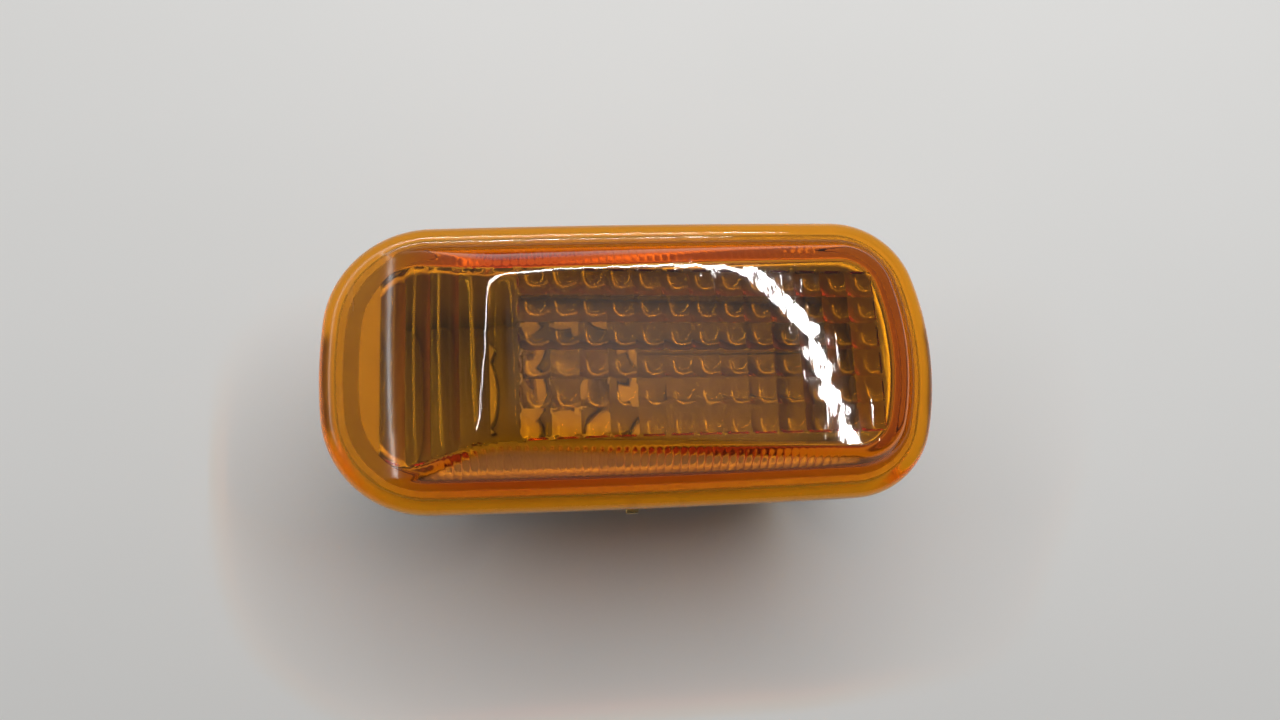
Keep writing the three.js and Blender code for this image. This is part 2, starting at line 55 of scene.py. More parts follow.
camera = bpy.data.objects.new("camera", camera_data)
bpy.context.collection.objects.link(camera)
bpy.context.scene.camera = camera

camera_height = math.radians(76)
camera_swing = math.radians(2.87)
camera_tip = math.radians(5.07)
camera_distance = 0.1470
camera_aim = Vector((-0.00099, -0.00037))
rim_widest = 0.004  # above the lower edge of the lens

lens_low, lens_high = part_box("lens")
aim_at = Vector((0, 0, lens_low.z + rim_widest))
turn = (Matrix.Rotation(camera_tip, 3, "Y") @ Matrix.Rotation(camera_swing, 3, "Z")).transposed()
right = Vector((1, 0, 0))
up = Vector((0, math.sin(camera_height), math.cos(camera_height)))
back = Vector((0, -math.cos(camera_height), math.sin(camera_height)))
place = back * camera_distance - right * camera_aim.x - up * camera_aim.y
axes = Matrix((turn @ right, turn @ up, turn @ back)).transposed()
camera.matrix_world = Matrix.Translation(aim_at + turn @ place) @ axes.to_4x4()

# ---- Lens ----
# One moulding in clear amber acrylic: a bead rim, a narrow brim and a dome that climbs from the
# left end and falls away to the right. The light-spreading flutes and prisms are on its inside,
# and a short leg under the brim is bonded to the tub. Worked in millimetres from the rim's edge.
mm = 0.001
half_length = lens_high.x / mm
half_width = lens_high.y / mm
rim_z = lens_low.z

corner_radius = {1: 12.7, -1: 15.7}  # right end, left end
end_radius = {1: 45, -1: 73}
side_radius = 1935
side_centre_y = half_width - side_radius

rim_thickness = 2
rim_foot = 0.5
bead_radius = 2.4
widest = rim_widest / mm
brim_thickness = 2.2
brim_width = 3.7
wall_thickness = 1.9
outer_lean, inner_lean = 0.62, 0.5  # how far the wall leans in for each millimetre up
wall_fillet = 0.5
leg_thickness = 2
leg_length = 1.6
shoulder = 9  # the higher, the sharper the edge where the dome meets its wall
ramp_start = -half_length + 8
peak_x = -half_length + 27
peak_rise = 8.6
fall_slope = 0.1
fall_rounding = 6
crown = 0.0007  # how fast the dome falls away to its long sides
brim_top = widest + bead_radius
brim_under = brim_top - brim_thickness
leg_inset = brim_width + wall_thickness - leg_thickness

prism = 4.0  # pitch of the moulded prisms and flutes
flutes_from = -half_length + 8.7
flutes = 5
prism_columns = 13
prism_rows = 6
flute_depth = 0.5
prism_depth = 0.42
cells = 14  # mesh cells across one prism
comb_pitch = 4  # cells from tooth to tooth
comb_depth = 0.4
sink_depth = 0.0025  # where the plastic drew in over each prism
CLEAR, STIPPLED, PRISMS = 0.03, 0.45, 0.10  # how rough each kind of face is moulded
end_haze = 0.2  # how much rougher the outside is at the left end


def corner_arc(side):
    """The corner arc that runs smoothly into an end and a long side: its centre, where the end's
    centre lies, and the angles where the corner begins and stops."""
    ends = half_length - end_radius[side]
    to_side = side_radius - corner_radius[side]
    to_end = end_radius[side] - corner_radius[side]
    apart = math.hypot(ends, side_centre_y)
    along = (to_side**2 - to_end**2 + apart**2) / (2 * apart)
    off = math.sqrt(to_side**2 - along**2)
    ux, uy = ends / apart, -side_centre_y / apart
    foot = (along * ux, side_centre_y + along * uy)
    choices = [(foot[0] + s * off * uy, foot[1] - s * off * ux) for s in (1, -1)]
    cx, cy = max(choices, key=lambda c: min(c[0] - ends, c[1] - side_centre_y) if c[0] > 0 else -1e9)
    return cx, cy, ends, math.atan2(cy, cx - ends), math.atan2(cy - side_centre_y, cx)


def arc(cx, cy, radius, start, stop, count):
    angles = np.linspace(start, stop, count)
    return np.c_[cx + radius * np.cos(angles), cy + radius * np.sin(angles)]


def half_side(side, inset):
    """Outline from the middle of an end to mid corner, and from mid corner to the long side's middle."""
    cx, cy, ends, end_angle, side_angle = corner_arc(side)
    middle = (end_angle + side_angle) / 2
    small = corner_radius[side] - inset
    end = np.vstack([
        arc(ends, 0, end_radius[side] - inset, 0, end_angle, 30),
        arc(cx, cy, small, end_angle, middle, 20)[1:],
    ])
    flank = np.vstack([
        arc(cx, cy, small, middle, side_angle, 20),
        arc(0, side_centre_y, side_radius - inset, side_angle, math.pi / 2, 60)[1:],
    ])
    return end * [side, 1], flank * [side, 1]


def spaced(path, count):
    """count points evenly spaced along a path, leaving out its last one."""
    run = np.r_[0, np.cumsum(np.hypot(*np.diff(path, axis=0).T))]
    at = np.linspace(0, run[-1], count + 1)[:-1]
    return np.c_[np.interp(at, run, path[:, 0]), np.interp(at, run, path[:, 1])]


def outline(inset, across, along):
    """The lamp's outline moved inwards: across points on each end and along points on each side."""
    right_end, right_flank = half_side(1, inset)
    left_end, left_flank = half_side(-1, inset)
    down = np.array([1, -1])
    east = np.vstack([(right_end * down)[::-1], right_end[1:]])
    north = np.vstack([right_flank, left_flank[::-1][1:]])
    west = np.vstack([left_end[::-1], (left_end * down)[1:]])
    south = np.vstack([left_flank * down, (right_flank * down)[::-1][1:]])
    return np.vstack([spaced(east, across), spaced(north, along), spaced(west, across), spaced(south, along)])


def level_ring(inset, z, across, along):
    """The outline moved inwards, as a ring of points at one height."""
    loop = outline(inset, across, along)
    return np.c_[loop, np.full(len(loop), z)]


def inset_at(x, y):
    """How far in from the outline a point lies."""
    depth = np.empty_like(x)
    for side in (1, -1):
        here = (x >= 0) if side == 1 else (x < 0)
        px, py = np.abs(x[here]), np.abs(y[here])
        cx, cy, ends, end_angle, side_angle = corner_arc(side)
        to_end = end_radius[side] - np.hypot(px - ends, py)
        to_side = side_radius - np.hypot(px, py - side_centre_y)
        to_corner = corner_radius[side] - np.hypot(px - cx, py - cy)
        angle = np.arctan2(py - cy, px - cx)
        in_corner = (angle > end_angle) & (angle < side_angle)
        depth[here] = np.where(in_corner, to_corner, np.minimum(to_end, to_side))
    return depth


def smooth_step(start, stop, x):
    t = np.clip((x - start) / (stop - start), 0, 1)
    return t * t * (3 - 2 * t)


def dome_rise(x, y):
    climb = smooth_step(ramp_start, peak_x, x)
    past = x - peak_x
    fall = fall_slope * (past + np.hypot(past, fall_rounding)) / 2
    return (peak_rise - fall) * climb * (1 - crown * y * y)


def wall_rise(depth, lean):
    past = depth - brim_width
    return (past + np.hypot(past, wall_fillet)) / 2 / lean


def lower_of(a, b):
    """The lower of two heights, with a rounded shoulder where they cross."""
    a, b = np.maximum(a, 1e-4), np.maximum(b, 1e-4)
    return (a**-shoulder + b**-shoulder) ** (-1 / shoulder)


def outer_face(x, y):
    return brim_top + lower_of(dome_rise(x, y), wall_rise(inset_at(x, y), outer_lean))


def ridges(x, y):
    """Depth of the flutes and prisms below the plain inner face."""
    along = (x - flutes_from) / prism
    u = 2 * (along - np.floor(along)) - 1
    v = 2 * (y / prism - np.floor(y / prism)) - 1
    flute = flute_depth * (1 - u * u)
    pillow = prism_depth * (2 - u * u - v * v)
    in_flutes = (along >= 0) & (along < flutes)
    in_prisms = (along >= flutes) & (along < flutes + prism_columns)
    in_prisms &= np.abs(y) < prism * prism_rows / 2
    return np.where(in_flutes, flute, np.where(in_prisms, pillow, 0))


def inner_face(x, y):
    depth = inset_at(x, y) - wall_thickness
    rise, wall = dome_rise(x, y), wall_rise(depth, inner_lean)
    window = smooth_step(0, 0.8, wall - rise)
    return brim_under + lower_of(rise, wall) - ridges(x, y) * window


def comb(loop, across, along):
    """How far the comb of upright teeth on the long inner walls hangs below the plain wall. It
    fades out at the head and foot of the wall and towards the corners."""
    x, y = loop[:, 0], loop[:, 1]
    rise = dome_rise(x, y)
    wall = wall_rise(inset_at(x, y) - wall_thickness, inner_lean)
    place = (np.arange(len(loop)) - across) % (across + along)
    tooth = np.abs(place % comb_pitch - comb_pitch / 2) / (comb_pitch / 2)
    from_corner = np.minimum(place, along - place)
    on_wall = smooth_step(0.2, 1.4, rise - wall) * smooth_step(0.2, 1.2, wall)
    return comb_depth * tooth * on_wall * smooth_step(12, 40, from_corner)


def sheet_faces(number):
    """The four-sided faces between a grid of numbered points."""
    quads = np.stack([number[:-1, :-1], number[1:, :-1], number[1:, 1:], number[:-1, 1:]], axis=-1)
    return [tuple(quad) for quad in quads.reshape(-1, 4)]


def sheet_edge(number):
    """The numbers of the points round the edge of a grid."""
    return np.r_[number[:-1, -1], number[-1, :0:-1], number[:0:-1, 0], number[0, :-1]]


def lens_mesh():
    """The whole closed skin, with the roughness of each face: the inner window is a fine grid, and
    rings run out from it, over the rim and back to the middle of the outer face."""
    across = prism_rows * cells
    along = (flutes + prism_columns) * cells
    x0, x1 = flutes_from, flutes_from + (flutes + prism_columns) * prism
    y1 = prism * prism_rows / 2
    xs, ys = np.linspace(x0, x1, along + 1), np.linspace(-y1, y1, across + 1)
    gx, gy = np.meshgrid(xs, ys)
    nudge = 1e-6
    grid_x = np.clip(gx, x0 + nudge, x1 - nudge)
    grid = np.c_[gx.ravel(), gy.ravel(), inner_face(grid_x.ravel(), gy.ravel())]
    number = np.arange(grid.shape[0]).reshape(gx.shape)
    faces = sheet_faces(number)
    finishes = [PRISMS] * len(faces)
    border = sheet_edge(number)

    window_edge = grid[border][:, :2]
    inner_foot = brim_width + wall_thickness

    def lifted(loop, face):
        return np.c_[loop, face(loop[:, 0], loop[:, 1])]

    def flat(inset, z):
        return level_ring(inset, z, across, along)

    rings = []
    wall_foot = outline(inner_foot + 0.05, across, along)
    for share in np.linspace(0.05, 1, 18):
        loop = window_edge * (1 - share) + wall_foot * share
        ring = lifted(loop, inner_face)
        ring[:, 2] -= comb(loop, across, along)
        rings.append((ring, PRISMS))
    leg_foot = brim_under - leg_length
    edge = 0.15
    for inset, z in (
        (inner_foot, brim_under - 0.1),
        (inner_foot, leg_foot + edge),
        (inner_foot - edge, leg_foot),
        (leg_inset + edge, leg_foot),
        (leg_inset, leg_foot + edge),
        (leg_inset, brim_under - 0.2),
        (leg_inset - 0.2, brim_under),
        (rim_thickness + 0.5, brim_under),
        (rim_thickness + 0.2, brim_under - 0.3),
        (rim_thickness, edge * 2),
        (rim_thickness - edge, edge * 0.6),
        (rim_thickness - 2 * edge, 0),
        (rim_foot + 0.25, 0),
        (rim_foot, 0.05),
        (rim_foot - 0.25, 0.25),
        (0.17, rim_foot + 0.1),
    ):
        rings.append((flat(inset, z), STIPPLED))
    rings.append((flat(0.08, widest - 1.2), CLEAR))
    for degrees in range(0, 96, 6):
        a = math.radians(min(degrees, 90))
        ring = flat(bead_radius * (1 - math.cos(a)), widest + bead_radius * math.sin(a))
        rings.append((ring, CLEAR))
    for step in np.r_[np.linspace(-1.05, 0.9, 9), np.linspace(1.2, 6.2, 18)]:
        rings.append((lifted(outline(brim_width + step, across, along), outer_face), CLEAR))
    last = rings[-1][0][:, :2]
    spine = np.c_[last[:, 0] * 0.8, last[:, 1] * 0]
    for share in np.linspace(0, 1, 12)[1:-1]:
        rings.append((lifted(last * (1 - share) + spine * share, outer_face), CLEAR))

    points = [grid]
    previous = border
    start = grid.shape[0]
    count = len(border)
    for loop, finish in rings:
        points.append(loop)
        here = np.arange(start, start + count)
        for i in range(count):
            j = (i + 1) % count
            faces.append((previous[i], here[i], here[j], previous[j]))
            left_end = finish == PRISMS and loop[i, 0] < flutes_from
            finishes.append(STIPPLED if left_end else finish)
        previous, start = here, start + count
        if finish == CLEAR:
            haze = end_haze * (1 - smooth_step(ramp_start - 1, ramp_start + 8, loop[:, 0]))
            finishes[-count:] = (CLEAR + haze).tolist()
    top = [previous[across // 2 + k] for k in range(count // 2 + 1)]
    bottom = [previous[(across // 2 - k) % count] for k in range(count // 2 + 1)]
    for k in range(count // 2):
        quad = list(dict.fromkeys((top[k], top[k + 1], bottom[k + 1], bottom[k])))
        if len(quad) > 2:
            faces.append(tuple(quad))
            finishes.append(CLEAR)
    return np.vstack(points), faces, finishes


def joined(rings, closed=False):
    """Rings of points, each with the same number, joined into a skin; closed joins the last to the
    first, and otherwise both ends are capped."""
    count = len(rings[0])
    faces = []
    for r in range(len(rings) if closed else len(rings) - 1):
        a, b = r * count, (r + 1) % len(rings) * count
        for i in range(count):
            j = (i + 1) % count
            faces.append((a + i, a + j, b + j, b + i))
    if not closed:
        faces.append(tuple(range(count)))
        faces.append(tuple(range((len(rings) - 1) * count, len(rings) * count)))
    return np.vstack(rings), faces


def four_corners(a_start, a_stop, b_start, b_stop):
    """A rectangle's profile."""
    return [(a_start, b_start), (a_stop, b_start), (a_stop, b_stop), (a_start, b_stop)]


def softened(profile, thickness, place, edge, steps=2):
    """A flat closed profile given a thickness, with its edges rounded off. place turns the
    profile's own axes, and the axis across them, into the lamp's."""
    work = bmesh.new()
    for side in (-0.5, 0.5):
        for a, b in profile:
            work.verts.new((a, b, side * thickness))
    work.verts.ensure_lookup_table()
    count = len(profile)
    work.faces.new([work.verts[i] for i in reversed(range(count))])
    work.faces.new([work.verts[count + i] for i in range(count)])
    for i in range(count):
        j = (i + 1) % count
        work.faces.new([work.verts[k] for k in (i, j, count + j, count + i)])
    bmesh.ops.recalc_face_normals(work, faces=work.faces)
    sharp = [e for e in work.edges if e.calc_face_angle(0) > math.radians(35)]
    bmesh.ops.bevel(work, geom=sharp, offset=edge, segments=steps, profile=0.6,
                    affect="EDGES", clamp_overlap=True)
    work.verts.index_update()
    points = np.array([place(*v.co) for v in work.verts])
    faces = [tuple(v.index for v in f.verts) for f in work.faces]
    work.free()
    return points, faces


def skin(name, shells, finish=None):
    """One piece from closed shells of points, faces and, for a hollow, True. Millimetres from the
    rim's lower edge become metres in the frame."""
    whole = bmesh.new()
    for points, faces, *hollow in shells:
        mesh = bpy.data.meshes.new(name)
        placed = np.asarray(points, float) * mm + [0, 0, rim_z]
        mesh.from_pydata(placed.tolist(), [], [tuple(int(i) for i in f) for f in faces])
        if finish is not None:
            moulded_finish = mesh.attributes.new("moulded_finish", "FLOAT", "FACE")
            own = finish if len(mesh.polygons) == len(finish) else [CLEAR] * len(mesh.polygons)
            moulded_finish.data.foreach_set("value", own)
        shell = bmesh.new()
        shell.from_mesh(mesh)
        bmesh.ops.recalc_face_normals(shell, faces=shell.faces)
        if (shell.calc_volume(signed=True) < 0) != bool(hollow):
            bmesh.ops.reverse_faces(shell, faces=shell.faces)
        shell.to_mesh(mesh)
        shell.free()
        whole.from_mesh(mesh)
        bpy.data.meshes.remove(mesh)
    mesh = bpy.data.meshes.new(name)
    whole.to_mesh(mesh)
    whole.free()
    mesh.shade_smooth()
    mesh.set_sharp_from_angle(angle=math.radians(40))
    piece = bpy.data.objects.new(name, mesh)
    bpy.context.collection.objects.link(piece)
    return piece


def new_material(name):
    material = bpy.data.materials.new(name)
    material.use_nodes = True
    tree = material.node_tree
    return material, tree, tree.nodes["Principled BSDF"], tree.nodes["Material Output"]


def feed(tree, taker, sockets):
    """Gives a node's inputs plain values, or links from other sockets or nodes' first outputs."""
    for name, value in sockets.items():
        if isinstance(value, bpy.types.Node):
            value = value.outputs[0]
        if isinstance(value, bpy.types.NodeSocket):
            tree.links.new(value, taker.inputs[name])
        else:
            taker.inputs[name].default_value = value


def node(tree, kind, sockets=None, **settings):
    """A shader node with its own settings made and its inputs fed."""
    made = tree.nodes.new("ShaderNode" + kind)
    for name, value in settings.items():
        setattr(made, name, value)
    feed(tree, made, sockets or {})
    return made


def handled(tree, **given):
    """The masks and height of handling_marks in a material, with some of its inputs given."""
    inputs = {name.replace("_", " "): value for name, value in given.items()}
    return node(tree, "Group", inputs, node_tree=marks).outputs


def blend(tree, share, plain, other):
    """A colour that goes from plain to other as the share rises."""
    mix = node(tree, "Mix", {"Factor": share, "A": plain, "B": other}, data_type="RGBA")
    return mix.outputs["Result"]


def scaled(tree, value, factor, base, **settings):
    """A value times a factor, plus a base."""
    return node(tree, "Math", {0: value, 1: factor, 2: base}, operation="MULTIPLY_ADD", **settings)


def bumped(tree, height, strength, depth):
    """The normal of a surface with a fine relief; depth is in metres."""
    return node(tree, "Bump", {"Strength": strength, "Distance": depth, "Height": height})


def let_lamp_light_through(tree, shader, output, tint):
    """Lamp light passes straight through a clear piece, tinted, instead of casting a shadow."""
    straight = node(tree, "BsdfTransparent", {"Color": tint})
    ray = node(tree, "LightPath").outputs["Is Shadow Ray"]
    feed(tree, output, {"Surface": node(tree, "MixShader", {0: ray, 1: shader, 2: straight})})


def new_group(name, inputs, outputs):
    """A node group with named inputs and outputs, each with its kind and plain value."""
    group = bpy.data.node_groups.new(name, "ShaderNodeTree")
    for way, sockets in (("INPUT", inputs), ("OUTPUT", outputs)):
        for label, value in sockets.items():
            kind = "NodeSocketColor" if isinstance(value, tuple) else "NodeSocketFloat"
            made = group.interface.new_socket(label, in_out=way, socket_type=kind)
            made.default_value = value
    return group, group.nodes.new("NodeGroupInput").outputs, group.nodes.new("NodeGroupOutput")


def handling_marks():
    """Fine scratches, rubbed patches and dust, as masks and a height, for any surface."""
    group, given, out = new_group(
        "handling_marks",
        {"Scratch Size": 700.0, "Patch Size": 60.0, "Patch Cover": 0.5},
        {"Scratches": 0.0, "Patches": 0.0, "Dust": 0.0, "Height": 0.0},
    )
    place = node(group, "TexCoord").outputs["Object"]
    stretched = node(group, "Mapping", {"Vector": place, "Scale": (1, 0.12, 1), "Rotation": (0, 0, 0.5)})
    fine = node(group, "TexNoise", {"Vector": stretched, "Detail": 3.0, "Scale": given["Scratch Size"]})
    cut = node(group, "MapRange", {"Value": fine, "From Min": 0.62, "From Max": 0.72})
    broad = node(group, "TexNoise", {"Vector": place, "Scale": given["Patch Size"],
                                     "Detail": 5.0, "Roughness": 0.6})
    rubbed = node(group, "MapRange", {"Value": broad, "From Min": given["Patch Cover"], "From Max": 0.75})
    scratches = node(group, "Math", {0: cut, 1: rubbed}, operation="MULTIPLY")
    grit = node(group, "TexNoise", {"Vector": place, "Scale": 1400.0, "Detail": 2.0})
    specks = node(group, "MapRange", {"Value": grit, "From Min": 0.55, "From Max": 0.75})
    height = node(group, "Math", {0: fine, 1: cut}, operation="SUBTRACT")
    feed(group, out, {"Scratches": scratches, "Patches": rubbed, "Dust": specks, "Height": height})
    return group


marks = handling_marks()


def amber_acrylic():
    """Amber acrylic, dyed through, with polished, stippled and prism faces."""
    material, tree, shader, output = new_material("amber_acrylic")
    shader.inputs["Transmission Weight"].default_value = 1
    shader.inputs["IOR"].default_value = 1.49
    worn = handled(tree, Patch_Size=75, Patch_Cover=0.42)
    shade = blend(tree, worn["Patches"], (1, 0.97, 0.9, 1), (0.93, 0.9, 0.83, 1))
    finish = node(tree, "Attribute", attribute_name="moulded_finish").outputs["Fac"]
    dull = scaled(tree, worn["Scratches"], 0.22, finish)
    place = node(tree, "SeparateXYZ", {0: node(tree, "TexCoord").outputs["Object"]})
    sinks = []
    for way in ("X", "Y"):
        wave = node(tree, "Math", {0: place.outputs[way], 1: 2 * math.pi / (prism * mm)},
                    operation="MULTIPLY")
        sinks.append(node(tree, "Math", {0: wave}, operation="SINE"))
    sink = node(tree, "Math", {0: sinks[0], 1: sinks[1]}, operation="MULTIPLY")
    sunk = node(tree, "Bump", {"Strength": 1.0, "Distance": sink_depth * mm, "Height": sink})
    bump = node(tree, "Bump", {"Strength": 0.5, "Distance": 0.000012,
                               "Height": worn["Height"], "Normal": sunk})
    feed(tree, shader, {"Base Color": shade, "Roughness": dull, "Normal": bump})
    dye = node(tree, "VolumeAbsorption", {"Color": (0.99, 0.825, 0.05, 1), "Density": 850})
    feed(tree, output, {"Volume": dye})
    let_lamp_light_through(tree, shader, output, (0.96, 0.80, 0.26, 1))
    return material


gate_left, gate_right = -1.9, -0.1
gate_foot, gate_top = rim_foot, rim_foot + 1.8
gate_proud, gate_sunk = 0.45, 0.6  # out from the rim, and into it
gate_middle = -half_width - (gate_proud - gate_sunk) / 2
gate_profile = four_corners(gate_left, gate_right, gate_foot, gate_top)
lens_points, lens_faces, lens_finish = lens_mesh()
gate = softened(gate_profile, gate_proud + gate_sunk, lambda a, b, c: (a, gate_middle - c, b), 0.3)
lens = skin("amber_lens", [(lens_points, lens_faces), gate], lens_finish)
lens.data.materials.append(amber_acrylic())
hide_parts("lens")
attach(lens, "root")

frost_outer, frost_inner = 2.3, 5.5  # insets of the strip behind the brim
frost_top, frost_foot = brim_under - 0.03, brim_under - 0.15
frost_reach = 13.2  # half the width of the patch behind the ramp
frost_rows, frost_columns = 60, 12


def frosted_back():
    """The matt etched skin on the back of the brim and of the smooth left end, which hides the
    bonding flange and glows evenly."""
    across, along = prism_rows * cells, (flutes + prism_columns) * cells
    section = four_corners(frost_outer, frost_inner, frost_top, frost_foot)
    behind_brim = joined([level_ring(inset, z, across, along) for inset, z in section], closed=True)
    ys = np.linspace(-frost_reach, frost_reach, frost_rows)
    near, far = np.full(frost_rows, -half_length), np.full(frost_rows, flutes_from)
    for _ in range(30):
        half = (near + far) / 2
        outside = inset_at(half, ys) < frost_inner - 0.05
        near, far = np.where(outside, half, near), np.where(outside, far, half)
    share = np.linspace(0, 1, frost_columns)
    gx = near[:, None] * (1 - share) + (flutes_from - 0.05) * share
    gy = np.repeat(ys[:, None], frost_columns, axis=1)
    x, y = gx.ravel(), gy.ravel()
    top = np.c_[x, y, inner_face(x, y) - 0.04]
    low = top - [0, 0, 0.1]
    count = len(x)
    number = np.arange(count).reshape(gx.shape)
    faces = sheet_faces(number) + sheet_faces(number + count)
    edge = sheet_edge(number)
    faces += [(a, b, count + b, count + a) for a, b in zip(edge, np.roll(edge, -1))]
    return behind_brim, (np.vstack([top, low]), faces)


frost, tree, shader, _ = new_material("amber_frosting")
worn = handled(tree, Patch_Size=120)
etch = node(tree, "TexNoise", {"Scale": 4000.0, "Detail": 2.0})
feed(tree, shader, {
    "Base Color": blend(tree, worn["Patches"], (0.26, 0.215, 0.065, 1), (0.22, 0.18, 0.055, 1)),
    "Roughness": scaled(tree, worn["Dust"], 0.15, 0.5),
    "Normal": bumped(tree, etch, 0.4, 0.00003),
})
frosting = skin("lens_frosting", frosted_back())
frosting.data.materials.append(frost)
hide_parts("lens")
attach(frosting, "root")

# ---- Sealant ----
# The bead of dark butyl that bonds the lens leg to the tub's flange, squeezed out a little
# unevenly when the two were pressed together.
def rounded(profile, radius, steps=3):
    """A closed line of points with its corners rounded off."""
    line = []
    for i, here in enumerate(profile):
        here = np.array(here, float)
        for other, way in ((profile[i - 1], 1), (profile[(i + 1) % len(profile)], -1)):
            leg = np.array(other, float) - here
            reach = min(radius, 0.45 * np.hypot(*leg))
            line_end = here + leg / max(np.hypot(*leg), 1e-9) * reach
            if way == 1:
                start = line_end
        for t in np.linspace(0, 1, steps + 1):
            line.append(start * (1 - t) ** 2 + here * 2 * t * (1 - t) + line_end * t * t)
    return line


def band(profile, across=40, along=100):
    """A closed band round the lamp: the profile is insets from the outline, and heights."""
    return joined([level_ring(inset, z, across, along) for inset, z in profile], closed=True)


bond_outer, bond_inner = 3.85, 5.35
bond_foot, bond_top = 1.7, 2.3
bond_points, bond_faces = band(rounded(four_corners(bond_outer, bond_inner, bond_foot, bond_top), 0.28))
run = np.arctan2(bond_points[:, 1], bond_points[:, 0])
waves = ((0.05, 23, 0), (0.04, 41, 1), (0.03, 77, 2))  # size, how many round the lamp, and shift
squeeze = sum(size * np.sin(count * run + shift) for size, count, shift in waves)
from_middle = inset_at(bond_points[:, 0], bond_points[:, 1]) - (bond_outer + bond_inner) / 2
outward = bond_points[:, :2] / np.hypot(bond_points[:, 0], bond_points[:, 1])[:, None]
bond_points[:, :2] -= outward * (from_middle * squeeze)[:, None]

butyl, tree, shader, _ = new_material("butyl")
worn = handled(tree, Patch_Size=260)
lumps = node(tree, "TexNoise", {"Scale": 900.0, "Detail": 3.0})
feed(tree, shader, {
    "Base Color": blend(tree, worn["Patches"], (0.032, 0.026, 0.022, 1), (0.065, 0.052, 0.042, 1)),
    "Roughness": scaled(tree, worn["Dust"], 0.3, 0.45),
    "Normal": bumped(tree, lumps, 0.5, 0.0001),
})
sealant = skin("sealant_bead", [(bond_points, bond_faces)])
sealant.data.materials.append(butyl)
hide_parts("lens_sealant")
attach(sealant, "root")

# ---- Housing ----
# The tub: one moulding in black plastic with a flange, an upstanding lip inside the lens leg, a
# keyhole in the floor for the bulb holder, two guard ribs, a fixed hook and two ears for the clip.
# The inside is sprayed with a dull silvery reflector coat.
bore = 8.2
notch_reach = 10.6
notch_half = math.radians(14.9)
floor_top, floor_under = -18.0, -20.0
flange_under, flange_top, lip_top = -0.4, 1.4, 3.6
flange_inset, lip_outside, lip_inside = 2.6, 6.0, 6.9
wall_head, wall_draft = 5.1, 2.4  # inset of the wall under the flange, and how much more at its foot
inside_foot = 9.3
floor_ring = 3  # from the foot of the wall to where the floor's rings turn into keyhole rings
keyhole_edge = 0.25
seam_inset = 8  # the keyhole's rings start in line with this ring of the tub
holder_x = (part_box("holder_seal")[0].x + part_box("holder_seal")[1].x) / 2 / mm
tub_across, tub_along = 40, 100


def tub_inset(z):
    """Depth in from the outline of the tub's drafted outer wall."""
    return wall_head + wall_draft * (flange_under - z) / (flange_under - floor_under)


def keyhole_ring(grow, z):
    """The bore and its three notches, as a ring matched to the rings of the tub."""
    start = outline(seam_inset, tub_across, tub_along)[0] - [holder_x, 0]
    count = 2 * (tub_across + tub_along)
    angles = math.atan2(start[1], start[0]) + np.arange(count) / count * 2 * math.pi
    from_notch = np.abs((angles + math.pi / 3) % (2 * math.pi / 3) - math.pi / 3)
    radius = np.where(from_notch < notch_half, notch_reach, bore) + grow
    return np.c_[holder_x + radius * np.cos(angles), radius * np.sin(angles), np.full(count, z)]


outside_foot = tub_inset(floor_under)
tub_profile = [
    (outside_foot + floor_ring, floor_under),
    (outside_foot, floor_under),
    (tub_inset(flange_under), flange_under),
    (flange_inset, flange_under),
    (flange_inset, flange_top),
    (lip_outside, flange_top),
    (lip_outside, lip_top),
    (lip_inside, lip_top),
    (inside_foot, floor_top),
    (inside_foot + floor_ring, floor_top),
]
tub_line = rounded(tub_profile, 0.45, 4)[5:-5]  # its two ends stay square
tub_rings = [keyhole_ring(0, floor_under + keyhole_edge), keyhole_ring(keyhole_edge, floor_under)]
for inset, z in [tub_profile[0], *tub_line, tub_profile[-1]]:
    tub_rings.append(level_ring(inset, z, tub_across, tub_along))
tub_rings += [keyhole_ring(keyhole_edge, floor_top), keyhole_ring(0, floor_top - keyhole_edge)]
shells = [joined(tub_rings, closed=True)]

root = floor_under + 0.4  # ribs and webs start inside the floor
rib_foot = -rim_z / mm
rib_end, rib_corner = 28, 3
rib_y, rib_thickness = 12.2, 2
rib_line = [(-rib_end, root), (-rib_end, rib_foot + rib_corner)]
for a in np.linspace(0.15, math.pi / 2, 9):
    rib_line.append((rib_corner * (1 - math.cos(a)) - rib_end, rib_foot + rib_corner * (1 - math.sin(a))))
rib_line += [(-x, z) for x, z in reversed(rib_line)]
web_outer, web_inner, web_foot, web_thickness = 12.6, 7.7, -27, 1.6
web_places = (-24.5, 9, 24.5)
web_line = [
    (-web_outer, root), (-web_outer, web_foot), (rib_thickness / 2 - rib_y, web_foot),
    (-web_inner, floor_under), (-web_inner, root),
]
for side in (-1, 1):
    shells.append(softened(rib_line, rib_thickness,
                           lambda a, b, c, side=side: (a, side * (rib_y + c), b), 0.4, 3))
    for x in web_places:
        shells.append(softened(web_line, web_thickness,
                               lambda a, b, c, x=x, side=side: (x + c, side * a, b), 0.3))

hook_top, hook_relief = -5.4, 0.5
hook_reach, hook_nose, hook_width = 5, 0.4, 14
hook_wall = -half_length + tub_inset(hook_top)
hook_line = [
    (hook_wall + 0.8, hook_top - hook_relief),
    (hook_wall - hook_relief, hook_top - hook_relief),
    (hook_wall - hook_relief, hook_top),
    (hook_wall - hook_reach + hook_nose, hook_top),
    (hook_wall - hook_reach, hook_top - 0.5),
    (hook_wall - hook_reach, hook_top - 1.6),
    (hook_wall + 1, hook_top - 6.6),
]
shells.append(softened(hook_line, hook_width, lambda a, b, c: (a, c, b), 0.2, 3))

